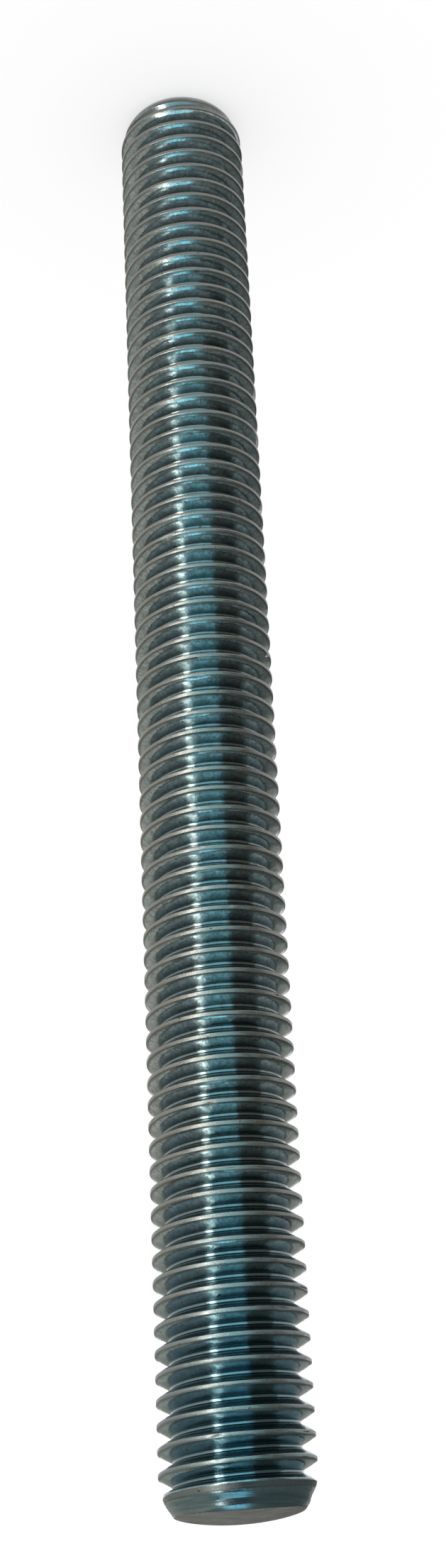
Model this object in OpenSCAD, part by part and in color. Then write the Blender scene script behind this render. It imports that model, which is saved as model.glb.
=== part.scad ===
// Fully threaded metric rod: one steel bar, threaded from end to end, standing on one end.
// The bar is turned about +Z, with its foot at z = 0. The thread's true section repeats at the
// true pitch as rings, so every crest, flank and root has its real radius and the bar its real volume.

/* [Rod] */
// Length from one sawn end to the other
rod_length = 130; // [60:5:200]

/* [Thread] */
// Outside diameter over the crests, the middle of the 6g limits for M12
major_d = 11.83; // [9.5:0.01:16]
// Distance from one crest to the next
pitch = 1.75; // [1.25:0.25:2.5]
// Width of the flat land on top of each crest
crest_flat = 0.25; // [0.15:0.05:0.4]
// Radius of the rounded root between two flanks
root_r = 0.22; // [0.1:0.02:0.3]
// Angle between each flank and the plane square to the bar
flank_angle = 30; // [27.5:0.5:30]

/* [Ends] */
// Length of the rounded lead-in at each end
lead_in_length = 2.9; // [1:0.1:5]
// How far the lead-in comes in from the crests at the end face
lead_in_drop = 1.05; // [0.4:0.05:1.5]

/* [Finish] */
// Colour of the zinc plating
zinc_colour = [0.55, 0.60, 0.63];

/* [Hidden] */

major_r = major_d / 2;

// One groove, seen in the half plane (radius, z): two flanks that end in a round root
groove_half_mouth = (pitch - crest_flat) / 2;
flank_apex_depth = groove_half_mouth / tan(flank_angle);
root_centre_depth = flank_apex_depth - root_r / sin(flank_angle);
root_half_arc = 90 - flank_angle;
root_steps = 4;

// Grooves stand evenly about the bar's middle, as many as start inside its length
groove_count = 2 * ceil(rod_length / pitch / 2) + 2;
first_groove_z = (rod_length - (groove_count - 1) * pitch) / 2;

// The lead-in is an arc that leaves the crest line smoothly and reaches the end face
lead_in_r = (pow(lead_in_length, 2) + pow(lead_in_drop, 2)) / (2 * lead_in_drop);
lead_in_half_arc = asin(lead_in_length / lead_in_r);
lead_in_steps = 10;
turn_facets = 96;

// Outline of one groove centred at height z, from its lower lip to its upper lip
function groove_outline(z) = concat(
    [[major_r, z - groove_half_mouth]],
    [for (i = [0 : root_steps])
        let (a = root_half_arc * (2 * i / root_steps - 1))
        [major_r - root_centre_depth - root_r * cos(a), z + root_r * sin(a)]],
    [[major_r, z + groove_half_mouth]]
);

// Lower lead-in, from the end face up to the crest line
function lead_in_outline() = [
    for (i = [0 : lead_in_steps])
        let (a = lead_in_half_arc * (1 - i / lead_in_steps))
        [major_r - lead_in_r * (1 - cos(a)), lead_in_length - lead_in_r * sin(a)]
];

function turned_over(outline) = [
    for (i = [len(outline) - 1 : -1 : 0]) [outline[i][0], rod_length - outline[i][1]]
];

// Endless thread section, longer than the bar at both ends
module thread_section() {
    grooves = [for (i = [0 : groove_count - 1]) each groove_outline(first_groove_z + i * pitch)];
    last_z = first_groove_z + (groove_count - 1) * pitch + pitch / 2;
    polygon(concat(
        [[0, first_groove_z - pitch / 2], [major_r, first_groove_z - pitch / 2]],
        grooves,
        [[major_r, last_z], [0, last_z]]
    ));
}

// The blank that the thread is cut into, with its two rounded lead-ins
module blank_section() {
    lower = lead_in_outline();
    polygon(concat([[0, 0]], lower, turned_over(lower), [[0, rod_length]]));
}

module threaded_rod() {
    color(zinc_colour)
        rotate_extrude($fn = turn_facets)
            intersection() {
                thread_section();
                blank_section();
            }
}

threaded_rod();
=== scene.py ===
"""A fully threaded zinc-plated steel rod, standing on one sawn end on a pale studio floor.

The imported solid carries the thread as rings. Here the rod gets its right-hand helix, its worn crests and
nicks, its sawn ends and its plated finish. Lengths are in metres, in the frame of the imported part.
"""

import math
from types import SimpleNamespace

import bpy
import numpy as np
from mathutils import Matrix, Vector


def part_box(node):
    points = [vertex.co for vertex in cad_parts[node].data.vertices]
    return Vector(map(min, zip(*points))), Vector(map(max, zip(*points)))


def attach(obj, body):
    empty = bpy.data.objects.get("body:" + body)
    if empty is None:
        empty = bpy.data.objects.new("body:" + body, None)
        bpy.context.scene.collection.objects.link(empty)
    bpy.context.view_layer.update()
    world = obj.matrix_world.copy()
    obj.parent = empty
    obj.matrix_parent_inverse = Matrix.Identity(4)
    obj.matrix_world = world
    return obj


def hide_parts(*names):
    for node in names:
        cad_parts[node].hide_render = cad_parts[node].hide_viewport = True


MM = 0.001

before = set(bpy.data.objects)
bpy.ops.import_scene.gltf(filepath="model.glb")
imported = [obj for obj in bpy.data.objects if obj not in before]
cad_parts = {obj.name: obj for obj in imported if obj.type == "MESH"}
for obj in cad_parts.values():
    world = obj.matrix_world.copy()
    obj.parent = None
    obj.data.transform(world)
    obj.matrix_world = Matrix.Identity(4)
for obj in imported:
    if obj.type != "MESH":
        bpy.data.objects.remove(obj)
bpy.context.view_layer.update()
rod_low, rod_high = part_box("threaded_rod")

# ---- sizes of the rod -------------------------------------------------------------------------------
MAJOR_R = (rod_high.x - rod_low.x) / 2
LENGTH = rod_high.z - rod_low.z
PITCH = 1.75 * MM
# Half of the thread's profile: the distance from a crest's middle in mm, and how far the surface turns
# away from the rod's axis there, in degrees. It lies flat on the crest and the root.
HALF_PROFILE = ((0, 0), (0.12, 7), (0.16, 54), (0.30, 57), (0.45, 60), (0.60, 62), (0.74, 63), (0.81, 7),
                (0.875, 0))
PROFILE_SAMPLES = 500
# How far up the rod the helix is shifted, in pitches.
THREAD_PHASE = -0.488

NICKS = 320
NICK_DEPTH = 0.09 * MM
THREAD_WOBBLE = 0.012 * MM

LEAD_IN_LENGTH = 2.9 * MM
LEAD_IN_DROP = 1.05 * MM
# The thread has its full depth further than FADE_FROM from an end, and FADED_SHARE of it within FADE_TO.
FADE_FROM = 2.1 * MM
FADE_TO = 1.0 * MM
FADED_SHARE = 0.15
EDGE_BEVEL = 0.06 * MM

# How far the upper end's sawn face lies below the rod's full length, in mm.
DIP_LEAST = 0.01
DIP_BACK_TO_FRONT = 0.085
DIP_SIDE_TO_SIDE = 0.115
DIP_AT_BOTH_SIDES = 0.30
DIP_AT_MIDDLE = 0.1

# ---- the mesh ---------------------------------------------------------------------------------------
COLUMNS = 90
END_RINGS = 6
# Rows on each side of a crest's middle, in mm across the thread.
PROFILE_ROWS = (0.12, 0.14, 0.16, 0.45, 0.74, 0.81)
SLOPE_STEP = 0.004 * MM

# ---- colours of the plating -------------------------------------------------------------------------
BRIGHT_PLATE = (0.38, 0.44, 0.45)
DULL_PLATE = (0.26, 0.31, 0.32)
MOTTLED_PLATE = (0.16, 0.19, 0.20)
# Painted shade that darkens the thread's roots.
ROOT_PAINTED_SHADE = (0.10, 0.13, 0.135)
BLUED_PLATE = (0.13, 0.22, 0.255)
WORN_CREST = (0.20, 0.197, 0.182)
# Painted dark reflection: a thin dark line along each crest's edges.
CREST_EDGE_PAINTED_REFLECTION = (0.05, 0.06, 0.06)
TURNED_END = (0.08, 0.085, 0.08)
SPECK = (0.05, 0.05, 0.04)

# ---- the studio -------------------------------------------------------------------------------------
FLOOR_HALF_SIZE = 6.0
FLOOR_COLOUR = (0.42, 0.42, 0.42)
FLOOR_GLOW = 0.60
# How far the cards stand from the middle of the rod.
WALL_REACH = 2.5
LAMP_REACH = 2.3
FRONT_REACH = 0.1
FRONT_LAMP_REACH = FRONT_REACH - 0.005
CARD_STEP = 5

CAMERA_IN_FRONT = 159.5 * MM
CAMERA_ABOVE_ROD = 13.5 * MM
CAMERA_DIP = 24.43
CAMERA_YAW = -0.44
CAMERA_ROLL = 177.37


# ---- shape ------------------------------------------------------------------------------------------
def wander(along, seed, waves_per_turn):
    """A smooth wave along the thread, mostly from -1 to 1. Along is counted in turns."""
    rng = np.random.default_rng(seed)
    waves = 7
    rates = waves_per_turn * rng.uniform(0.4, 1.7, waves) * math.tau
    starts = rng.uniform(0, math.tau, waves)
    return sum(np.sin(rate * along + start) for rate, start in zip(rates, starts)) / math.sqrt(waves)


def nick_depth(along, across):
    """Dents in the crests, each about as long along the thread as the crest is wide."""
    rng = np.random.default_rng(41)
    total = np.zeros_like(across)
    for _ in range(NICKS):
        at, aside = rng.uniform(-1, LENGTH / PITCH + 1), rng.normal(0, 0.11) * MM
        half_length, half_width = rng.uniform(0.25, 0.7) * MM, rng.uniform(0.06, 0.13) * MM
        depth = NICK_DEPTH * rng.uniform(0.15, 1) ** 2
        away = ((along - at) * math.tau * MAJOR_R / half_length) ** 2 + ((across - aside) / half_width) ** 2
        total += depth * np.exp(-np.minimum(away, 50))
    return total


def thread_profile():
    """Places from a crest's middle to a root's middle, and the depth of the thread at each."""
    across = np.linspace(0, PITCH / 2, PROFILE_SAMPLES)
    places, turns = np.array(HALF_PROFILE).T
    sine = np.interp(across, places * MM, np.sin(np.radians(turns)))
    slope = sine / np.sqrt(1 - sine**2)
    rise = (slope[1:] + slope[:-1]) / 2 * np.diff(across)
    return across, np.concatenate([[0], np.cumsum(rise)])


def thread_depth(theta, z):
    """How far the thread lies inside the crests at an angle round the rod and a height."""
    turns = z / PITCH - theta / math.tau - THREAD_PHASE
    along = np.round(turns) + theta / math.tau
    across = (turns - np.round(turns)) * PITCH
    x = np.abs(across + THREAD_WOBBLE * wander(along, 3, 2.5) * np.cos(math.pi * across / PITCH))
    places, depths = thread_profile()
    return np.interp(x, places, depths) + nick_depth(along, across)


def upper_end_dip(theta):
    """How far the rim of the upper end, which was sawn out of square, lies below the rod's full length."""
    tilt = DIP_LEAST + DIP_BACK_TO_FRONT * (1 - np.sin(theta))
    return (tilt + DIP_AT_BOTH_SIDES * np.cos(theta) ** 2 - DIP_SIDE_TO_SIDE * np.cos(theta)) * MM


def lead_in_depth(from_end):
    """How far the rounded lead-ins lie inside the crests at a distance from the end."""
    arc_r = (LEAD_IN_LENGTH**2 + LEAD_IN_DROP**2) / (2 * LEAD_IN_DROP)
    into = np.clip(LEAD_IN_LENGTH - from_end, 0, LEAD_IN_LENGTH)
    return arc_r - np.sqrt(arc_r**2 - into**2)


def surface_radius(theta, z):
    """The rod's radius with its thread, which gets shallower where it runs out over the lead-ins."""
    from_end = np.minimum(z, LENGTH - upper_end_dip(theta) - z)
    lead_in = lead_in_depth(from_end)
    share = np.clip((from_end - FADE_TO) / (FADE_FROM - FADE_TO), 0, 1)
    kept = FADED_SHARE + (1 - FADED_SHARE) * share * share * (3 - 2 * share)
    return MAJOR_R - lead_in - kept * np.maximum(thread_depth(theta, z) - lead_in, 0)


def surface_normal(theta, z):
    """Outward normals of the threaded surface, from its slope round and along the rod."""
    r = surface_radius(theta, z)
    higher, lower = surface_radius(theta, z + SLOPE_STEP), surface_radius(theta, z - SLOPE_STEP)
    along = (higher - lower) / (2 * SLOPE_STEP)
    turn = SLOPE_STEP / MAJOR_R
    around = (surface_radius(theta + turn, z) - surface_radius(theta - turn, z)) / (2 * turn) / r
    c, s = np.cos(theta), np.sin(theta)
    n = np.stack([c + around * s, s - around * c, -along], axis=-1)
    return n / np.linalg.norm(n, axis=-1, keepdims=True)


def profile_steps():
    """Places of the mesh's rows along one pitch, from one root to the next, as shares of the pitch."""
    half = np.array(PROFILE_ROWS) * MM / PITCH
    return np.array([-0.5, *-half[::-1], 0, *half])


def side_grid(steps):
    """Angles and heights of a grid whose rows follow the thread, cut off by both ends."""
    turns = math.ceil(LENGTH / PITCH) + 2
    rows = (np.arange(-1, turns)[:, None] + steps[None, :] + THREAD_PHASE).ravel() * PITCH
    theta = np.arange(COLUMNS) / COLUMNS * math.tau
    z = rows[None, :] + PITCH * theta[:, None] / math.tau
    top = LENGTH - upper_end_dip(theta)[:, None] - EDGE_BEVEL
    return np.repeat(theta[:, None], len(rows), axis=1), np.clip(z, EDGE_BEVEL, top)


def merged_index(z):
    """Point numbers of the grid. Points that one column has at its lowest or highest place are one point."""
    index = np.arange(z.size).reshape(z.shape)
    for column, heights in zip(index, z):
        lowest, highest = heights <= heights.min(), heights >= heights.max()
        column[lowest] = column[lowest][-1]
        column[highest] = column[highest][0]
    return index


def side_faces(index, steps):
    """Faces of the threaded side, and the place of each corner along and across the thread in mm."""
    per_turn = len(steps)
    across = np.array([*steps, 0.5]) * PITCH / MM
    faces, places = [], []
    for i in range(COLUMNS):
        shift, nxt = (per_turn, 0) if i == COLUMNS - 1 else (0, i + 1)
        for j in range(index.shape[1] - 1 - shift):
            k = j + shift
            corners = (index[i, j], index[nxt, k], index[nxt, k + 1], index[i, j + 1])
            turn, row = divmod(j, per_turn)
            start, end = ((turn + (i + e) / COLUMNS) * math.tau * MAJOR_R / MM for e in (0, 1))
            low, high = across[row], across[row + 1]
            kept = dict(zip(corners, ((start, low), (end, low), (end, high), (start, high))))
            if len(kept) > 2:
                faces.append(list(kept))
                places += kept.values()
    return faces, places


def end_heights(theta, share, at_top):
    """Heights of an end's sawn face at a share of the way out to its rim."""
    if not at_top:
        return np.zeros_like(theta)
    return LENGTH - (1 - share) * DIP_AT_MIDDLE * MM - share * upper_end_dip(theta)


def sawn_end(ring, points, angle, at_top):
    """New points and the faces of one end, ring by ring from its rim to its middle."""
    rim = np.hypot(*points[ring, :2].T) - EDGE_BEVEL
    added, faces = np.empty((0, 3)), []
    for k in range(END_RINGS + 1):
        share = 1 - k / END_RINGS
        at_middle = k == END_RINGS
        heights = end_heights(angle, share, at_top)
        circle = np.stack([share * rim * np.cos(angle), share * rim * np.sin(angle), heights], axis=-1)
        inner = len(points) + len(added) + (np.zeros(COLUMNS, int) if at_middle else np.arange(COLUMNS))
        added = np.concatenate([added, circle[:1] if at_middle else circle])
        for i in range(COLUMNS):
            n = (i + 1) % COLUMNS
            corners = [ring[i], ring[n], inner[n], inner[i]]
            faces.append(list(dict.fromkeys(corners if at_top else corners[::-1])))
        ring = inner
    return added, faces


def mesh_from(points, normals, faces, places):
    """A smooth mesh of the points that the faces use, with the places on the thread as its UV map."""
    used = np.unique(np.concatenate([np.array(f) for f in faces]))
    renumber = np.zeros(len(points), int)
    renumber[used] = np.arange(len(used))
    mesh = bpy.data.meshes.new("threaded_rod_finished")
    mesh.from_pydata(points[used].tolist(), [], [[int(renumber[c]) for c in f] for f in faces])
    mesh.update()
    thread = mesh.uv_layers.new(name="thread")
    thread.data.foreach_set("uv", np.array(places, float).ravel())
    mesh.polygons.foreach_set("use_smooth", np.ones(len(faces), bool))
    mesh.normals_split_custom_set_from_vertices(normals[used].tolist())
    return mesh


def rod_mesh():
    """The rod's mesh, and the material of each face: 0 is plated, 1 is sawn."""
    steps = profile_steps()
    theta, z = side_grid(steps)
    radius = surface_radius(theta, z)
    points = np.stack([radius * np.cos(theta), radius * np.sin(theta), z], axis=-1).reshape(-1, 3)
    normals = surface_normal(theta, z).reshape(-1, 3)
    index = merged_index(z)
    faces, places = side_faces(index, steps)
    finishes = [0] * len(faces)
    for at_top in (False, True):
        ring = index[:, -1] if at_top else index[:, 0]
        added, end_faces = sawn_end(ring, points, theta[:, 0], at_top)
        points = np.concatenate([points, added])
        normals = np.concatenate([normals, np.tile((0, 0, 1 if at_top else -1), (len(added), 1))])
        faces += end_faces
        places += [(0, 0)] * sum(len(face) for face in end_faces)
        # The first ring of faces is the bevel, which is plated.
        finishes += [0] * COLUMNS + [1] * (len(end_faces) - COLUMNS)
    return mesh_from(points, normals, faces, places), finishes


# ---- finish -----------------------------------------------------------------------------------------
class Shader:
    """The nodes of one material, with a short method for each kind of node."""

    def __init__(self, name):
        self.mat = bpy.data.materials.new(name)
        self.mat.use_nodes = True
        self.nodes = self.mat.node_tree.nodes
        self.bsdf = self.nodes["Principled BSDF"]

    def set(self, target, value):
        """A socket's value, or its link where the value comes from another node."""
        if isinstance(value, bpy.types.NodeSocket):
            self.mat.node_tree.links.new(value, target)
        elif isinstance(value, tuple) and target.type == "RGBA":
            target.default_value = (*value, 1)
        else:
            target.default_value = value

    def thread(self):
        """Millimetres along and across the thread."""
        made = self.nodes.new("ShaderNodeUVMap")
        made.uv_map = "thread"
        return made.outputs["UV"]

    def place(self):
        """Metres in the object's own frame."""
        return self.nodes.new("ShaderNodeTexCoord").outputs["Object"]

    def scaled(self, vector, scale):
        made = self.nodes.new("ShaderNodeVectorMath")
        made.operation = "MULTIPLY"
        self.set(made.inputs[0], vector)
        self.set(made.inputs[1], scale)
        return made.outputs[0]

    def noise(self, vector, scale, detail=2.0, roughness=0.5):
        made = self.nodes.new("ShaderNodeTexNoise")
        self.set(made.inputs["Vector"], self.scaled(vector, scale))
        self.set(made.inputs["Scale"], 1.0)
        self.set(made.inputs["Detail"], detail)
        self.set(made.inputs["Roughness"], roughness)
        return made.outputs["Fac"]

    def separated(self, vector, axis):
        made = self.nodes.new("ShaderNodeSeparateXYZ")
        self.set(made.inputs[0], vector)
        return made.outputs[axis]

    def math(self, operation, *values):
        made = self.nodes.new("ShaderNodeMath")
        made.operation = operation
        for socket, value in zip(made.inputs, values):
            self.set(socket, value)
        return made.outputs[0]

    def ramp(self, value, low, high, to_low=0.0, to_high=1.0):
        """A smooth step from one value to another."""
        made = self.nodes.new("ShaderNodeMapRange")
        made.interpolation_type = "SMOOTHSTEP"
        for name, number in zip(("Value", "From Min", "From Max", "To Min", "To Max"),
                                (value, low, high, to_low, to_high)):
            self.set(made.inputs[name], number)
        return made.outputs["Result"]

    def mix(self, share, first, second):
        made = self.nodes.new("ShaderNodeMix")
        made.data_type = "RGBA"
        for name, value in (("Factor_Float", share), ("A_Color", first), ("B_Color", second)):
            self.set(next(i for i in made.inputs if i.identifier == name), value)
        return next(o for o in made.outputs if o.identifier == "Result_Color")

    def bump(self, height, depth, normal=None):
        """A bump whose full height is a depth in metres."""
        made = self.nodes.new("ShaderNodeBump")
        self.set(made.inputs["Strength"], 1.0)
        self.set(made.inputs["Distance"], depth)
        self.set(made.inputs["Height"], height)
        if normal:
            self.set(made.inputs["Normal"], normal)
        return made.outputs["Normal"]


def zinc_marks(s):
    """Where the plating is blotched, mottled, rubbed, turned and specked, as numbers that its nodes share."""
    thread, place = s.thread(), s.place()
    m = SimpleNamespace()
    m.from_crest = s.math("ABSOLUTE", s.separated(thread, 1))
    m.height = s.separated(place, 2)
    m.blotches = s.noise(place, (900, 900, 900), detail=4.0, roughness=0.6)
    m.grain = s.noise(place, (7000, 7000, 7000))
    m.mottle = s.noise(place, (3600, 3600, 3600), detail=4.0, roughness=0.7)
    m.streaks = s.noise(thread, (0.35, 17, 1), detail=3.0, roughness=0.6)
    m.waves = s.noise(thread, (0.25, 3, 1))
    m.rubs = s.noise(thread, (1.1, 5, 1), detail=3.0, roughness=0.6)
    m.specks = s.ramp(s.noise(place, (2300, 2300, 2300), detail=3.0, roughness=0.6), 0.68, 0.73)

    half = LENGTH / 2
    from_middle = s.math("ABSOLUTE", s.math("SUBTRACT", m.height, half))
    ragged = s.math("ADD", m.from_crest, s.ramp(m.rubs, 0.3, 0.7, -0.07, 0.07))
    worn_end = s.ramp(from_middle, half - 2.2 * MM, half - 1.0 * MM, 0.0, 0.3)
    m.crest = s.math("MAXIMUM", s.ramp(ragged, 0.34, 0.13), worn_end)
    rings = s.noise(place, (150, 150, 6500), detail=3.0)
    m.turned = s.math("MULTIPLY", s.ramp(from_middle, half - 2.4 * MM, half - 1.4 * MM), rings)
    return m


def zinc_colour(s, m):
    """Bluish on the flanks, darker with painted shade in the roots, with a painted dark reflection along the
    crests' edges, warmer on the worn crests and bluest near the upper end.
    """
    # Painted dark reflection: a thin dark line along both edges of each crest, made patchy by the rub noise.
    beside = s.math("ABSOLUTE", s.math("SUBTRACT", m.from_crest, 0.20))
    painted_edge_line = s.math("MULTIPLY", s.ramp(beside, 0.06, 0.02), s.ramp(m.rubs, 0.35, 0.6, 0.15, 0.6))
    blued = s.ramp(m.height, 0.76 * LENGTH, 0.98 * LENGTH, 0.0, 0.65)
    blued = s.math("MULTIPLY", blued, s.ramp(m.crest, 0.0, 1.0, 1.0, 0.45))
    colour = s.mix(s.ramp(m.blotches, 0.36, 0.68), BRIGHT_PLATE, DULL_PLATE)
    colour = s.mix(s.ramp(m.mottle, 0.46, 0.64, 0.0, 0.7), colour, MOTTLED_PLATE)
    # Painted shade: darker towards the roots.
    colour = s.mix(s.ramp(m.from_crest, 0.35, 0.75, 0.0, 0.75), colour, ROOT_PAINTED_SHADE)
    colour = s.mix(m.crest, colour, WORN_CREST)
    # Painted dark reflection along the crests' edges.
    colour = s.mix(painted_edge_line, colour, CREST_EDGE_PAINTED_REFLECTION)
    colour = s.mix(s.ramp(m.turned, 0.40, 0.58, 0.0, 0.8), colour, TURNED_END)
    colour = s.mix(blued, colour, BLUED_PLATE)
    return s.mix(m.specks, colour, SPECK)


def zinc_roughness(s, m):
    """Glossy plating, duller along the crests and dull in the specks."""
    plated = s.math("ADD", s.ramp(m.blotches, 0.35, 0.75, 0.06, 0.15), s.ramp(m.grain, 0.3, 0.8, 0.0, 0.05))
    rubbed = s.math("MULTIPLY", m.crest, s.ramp(m.rubs, 0.25, 0.75, 0.12, 0.21))
    return s.math("MAXIMUM", s.math("ADD", plated, rubbed), s.math("MULTIPLY", m.specks, 0.6))


def zinc_bumps(s, m):
    """Fine unevenness, from long waves of the rolled flanks down to the grain of the plating."""
    normal = s.bump(m.waves, 0.005 * MM)
    normal = s.bump(m.streaks, 0.0025 * MM, normal)
    normal = s.bump(m.grain, 0.004 * MM, normal)
    normal = s.bump(m.mottle, 0.005 * MM, normal)
    normal = s.bump(s.math("MULTIPLY", m.rubs, m.crest), 0.012 * MM, normal)
    return s.bump(m.turned, 0.02 * MM, normal)


def zinc_material():
    s = Shader("zinc_plate")
    marks = zinc_marks(s)
    s.set(s.bsdf.inputs["Base Color"], zinc_colour(s, marks))
    s.set(s.bsdf.inputs["Metallic"], 1.0)
    s.set(s.bsdf.inputs["Anisotropic"], 0.85)
    s.set(s.bsdf.inputs["Roughness"], zinc_roughness(s, marks))
    s.set(s.bsdf.inputs["Normal"], zinc_bumps(s, marks))
    return s.mat


def sawn_material():
    """Dull, dark steel with the saw's fine marks across it."""
    s = Shader("sawn_end")
    place = s.place()
    blotches = s.noise(place, (500, 500, 500), detail=4.0, roughness=0.6)
    marks = s.noise(place, (400, 5200, 400), detail=3.0, roughness=0.7)
    colour = s.mix(s.ramp(blotches, 0.35, 0.65), (0.055, 0.059, 0.050), (0.088, 0.094, 0.081))
    s.set(s.bsdf.inputs["Base Color"], colour)
    s.set(s.bsdf.inputs["Metallic"], 0.0)
    s.set(s.bsdf.inputs["Specular IOR Level"], 0.3)
    s.set(s.bsdf.inputs["Roughness"], s.ramp(marks, 0.3, 0.7, 0.5, 0.8))
    s.set(s.bsdf.inputs["Normal"], s.bump(marks, 0.03 * MM))
    return s.mat


def make_rod():
    mesh, finishes = rod_mesh()
    rod = bpy.data.objects.new("threaded_rod_finished", mesh)
    bpy.context.scene.collection.objects.link(rod)
    mesh.materials.append(zinc_material())
    mesh.materials.append(sawn_material())
    mesh.polygons.foreach_set("material_index", finishes)
    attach(rod, "root")
    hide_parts("threaded_rod")


# ---- studio -----------------------------------------------------------------------------------------
def make_floor():
    far = FLOOR_HALF_SIZE
    mesh = bpy.data.meshes.new("floor")
    mesh.from_pydata([(-far, -far, 0), (far, -far, 0), (far, far, 0), (-far, far, 0)], [], [(0, 1, 2, 3)])
    floor = bpy.data.objects.new("floor", mesh)
    bpy.context.scene.collection.objects.link(floor)
    mesh.materials.append(floor_material())


def floor_material():
    """A pale floor that keeps soft shadows and looks white to the camera and in reflections."""
    s = Shader("floor")
    path = s.nodes.new("ShaderNodeLightPath")
    seen = s.math("MAXIMUM", path.outputs["Is Camera Ray"], path.outputs["Is Glossy Ray"])
    seen = s.math("MAXIMUM", seen, path.outputs["Is Transmission Ray"])
    s.set(s.bsdf.inputs["Base Color"], FLOOR_COLOUR)
    s.set(s.bsdf.inputs["Roughness"], 1.0)
    s.set(s.bsdf.inputs["Specular IOR Level"], 0.0)
    s.set(s.bsdf.inputs["Emission Color"], (1.0, 1.0, 1.0))
    s.set(s.bsdf.inputs["Emission Strength"], s.math("MULTIPLY", seen, FLOOR_GLOW))
    return s.mat


def card(name, bearings, elevations, light, reach=WALL_REACH):
    """A curved studio card of one colour, which only the plating's reflections see.

    Bearings are degrees round the rod from straight behind it, turning towards the picture's right.
    Elevations are degrees up from the middle of the rod.
    """
    columns = round((bearings[1] - bearings[0]) / CARD_STEP) + 2
    rows = round((elevations[1] - elevations[0]) / CARD_STEP) + 2
    verts = []
    for bearing in np.radians(np.linspace(*bearings, columns)):
        for elevation in np.radians(np.linspace(*elevations, rows)):
            out, up = reach * math.cos(elevation), reach * math.sin(elevation)
            verts.append((-out * math.sin(bearing), out * math.cos(bearing), LENGTH / 2 + up))
    faces = [
        (i * rows + j, i * rows + j + 1, (i + 1) * rows + j + 1, (i + 1) * rows + j)
        for i in range(columns - 1)
        for j in range(rows - 1)
    ]
    mesh = bpy.data.meshes.new(name)
    mesh.from_pydata(verts, [], faces)
    mesh.materials.append(card_material(name, light))
    obj = bpy.data.objects.new(name, mesh)
    bpy.context.scene.collection.objects.link(obj)
    obj.visible_camera = False
    obj.visible_diffuse = False
    obj.visible_shadow = False


def card_material(name, light):
    mat = bpy.data.materials.new(name)
    mat.use_nodes = True
    nodes = mat.node_tree.nodes
    nodes.remove(nodes["Principled BSDF"])
    glow = nodes.new("ShaderNodeEmission")
    glow.inputs["Color"].default_value = (*light, 1)
    mat.node_tree.links.new(glow.outputs["Emission"], nodes["Material Output"].inputs["Surface"])
    return mat


def make_studio():
    """Walls and a ceiling round the rod, lamps before and behind it, and a window above and in front."""
    card("wall_left", (-153, -20), (-5, 58), (0.62, 0.60, 0.54))
    card("wall_back", (-20, 27), (-5, 58), (0.42, 0.42, 0.38))
    card("wall_right", (27, 153), (-5, 58), (0.20, 0.22, 0.21))
    card("wall_camera", (153, 207), (-5, 58), (0.12, 0.17, 0.19))
    card("ceiling", (-180, 180), (58, 90), (0.22, 0.25, 0.25))
    card("skylight", (195, 222), (52, 82), (1.10, 1.80, 2.00), LAMP_REACH)
    card("skylight_right", (153, 195), (52, 82), (0.70, 1.60, 1.90), LAMP_REACH)
    card("lamp", (-150, -141), (-4, 44), (6.0, 5.7, 5.2), LAMP_REACH)
    card("back_lamp", (-8, -2), (-4, 50), (3.0, 3.0, 2.8), LAMP_REACH)
    card("front_window", (153, 217), (-40, 40), (0.80, 1.50, 1.70), FRONT_REACH)
    card("front_lamp", (209, 217), (-40, 40), (14.0, 13.6, 12.6), FRONT_LAMP_REACH)
    card("front_shade", (100, 153), (-40, 40), (0.26, 0.25, 0.22), FRONT_REACH)


def make_camera():
    """The camera hangs above the rod's upper end and looks down along it, with that end at the bottom."""
    data = bpy.data.cameras.new("camera")
    data.lens = 47.43
    data.sensor_width = 36
    data.clip_start = 0.01
    data.clip_end = 50
    cam = bpy.data.objects.new("camera", data)
    bpy.context.scene.collection.objects.link(cam)
    cam.location = (0, -CAMERA_IN_FRONT, LENGTH + CAMERA_ABOVE_ROD)
    dip, yaw, roll = math.radians(CAMERA_DIP), math.radians(CAMERA_YAW), math.radians(CAMERA_ROLL)
    aim = Vector((math.sin(yaw) * math.cos(dip), math.cos(yaw) * math.cos(dip), -math.sin(dip)))
    level = aim.to_track_quat("-Z", "Y").to_matrix().to_4x4()
    cam.matrix_world = Matrix.Translation(cam.location) @ level @ Matrix.Rotation(roll, 4, "Z")
    bpy.context.scene.camera = cam


def light_world():
    """An even white light from all round."""
    world = bpy.data.worlds.new("studio")
    bpy.context.scene.world = world
    world.use_nodes = True
    world.node_tree.nodes["Background"].inputs["Color"].default_value = (1, 1, 1, 1)
    world.node_tree.nodes["Background"].inputs["Strength"].default_value = 1.0


make_camera()
make_rod()
make_floor()
make_studio()
light_world()

bpy.context.scene.view_settings.view_transform = "Standard"
